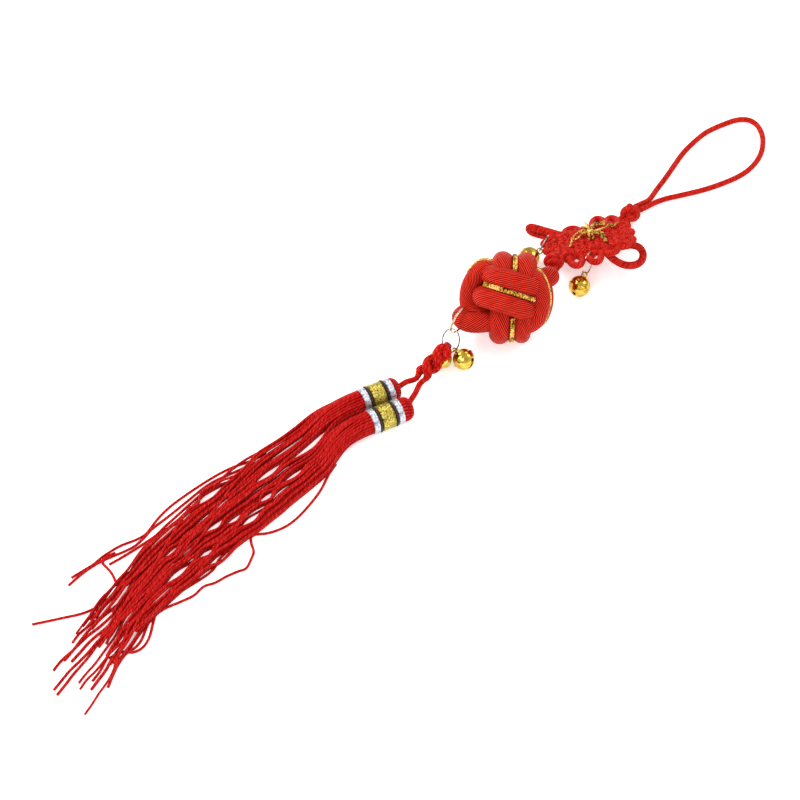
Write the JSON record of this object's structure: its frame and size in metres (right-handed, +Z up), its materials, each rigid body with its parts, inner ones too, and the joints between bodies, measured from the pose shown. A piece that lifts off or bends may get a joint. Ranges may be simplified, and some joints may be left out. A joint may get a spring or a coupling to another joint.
{
  "type": "hanging tassel ornament",
  "caption": "Red knotted cord ornament with a satin ball knot, small round bells and long tassels.",
  "frame": {"origin": "middle of the bounding box on the table", "axes": "+X towards the hanging loop, +Y across the ornament, +Z up from the table"},
  "size_m": [0.3638, 0.047, 0.0332],
  "materials": {
    "red_cord": "matte",
    "red_satin": "satin",
    "red_strand": "matte",
    "gold_thread": "metallic thread",
    "gold_metal": "polished",
    "pale_metal": "polished",
    "silver_foil": "glitter",
    "gold_foil": "glitter",
    "black_thread": "matte"
  },
  "bodies": {
    "root": {"hanging_loop": "red_cord", "flat_knot": "red_cord", "gold_bow": "gold_thread", "ball_knot": "red_satin", "gold_braid_front_front": "gold_thread", "gold_braid_front_back": "gold_thread", "gold_braid_upright_front": "gold_thread", "gold_braid_upright_back": "gold_thread", "gold_braid_rim_front": "gold_thread", "gold_braid_rim_back": "gold_thread", "link_ring": "pale_metal", "silver_ring": "pale_metal", "near_bell_ring": "pale_metal", "far_bell_ring": "pale_metal", "tail_bell": "gold_metal", "tassel_cord": "red_cord", "far_tassel": "red_strand", "near_tassel": "red_strand", "far_tassel_silver_low": "silver_foil", "far_tassel_black_low": "black_thread", "far_tassel_gold": "gold_foil", "far_tassel_black_high": "black_thread", "far_tassel_silver_high": "silver_foil", "near_tassel_silver_low": "silver_foil", "near_tassel_black_low": "black_thread", "near_tassel_gold": "gold_foil", "near_tassel_black_high": "black_thread", "near_tassel_silver_high": "silver_foil"},
    "near_bell": {"near_bell": "gold_metal"},
    "far_bell": {"far_bell": "gold_metal"},
    "low_bell": {"low_bell": "gold_metal"}
  },
  "joints": [
    {"name": "near_bell_swing", "type": "hinge", "parent": "root", "child": "near_bell", "pos_m": [0.07416, -0.01183, 0.0071], "axis": [0.7168, 0.1464, -0.6817], "range_deg": [-20, 40]},
    {"name": "far_bell_swing", "type": "hinge", "parent": "root", "child": "far_bell", "pos_m": [0.07317, 0.0088, 0.00558], "axis": [0.5608, 0.424, -0.7112], "range_deg": [0, 40]},
    {"name": "low_bell_swing", "type": "hinge", "parent": "root", "child": "low_bell", "pos_m": [0.01676, -0.00168, 0.00527], "axis": [-0.4631, 0.3777, -0.8018], "range_deg": [-15, 5]}
  ]
}
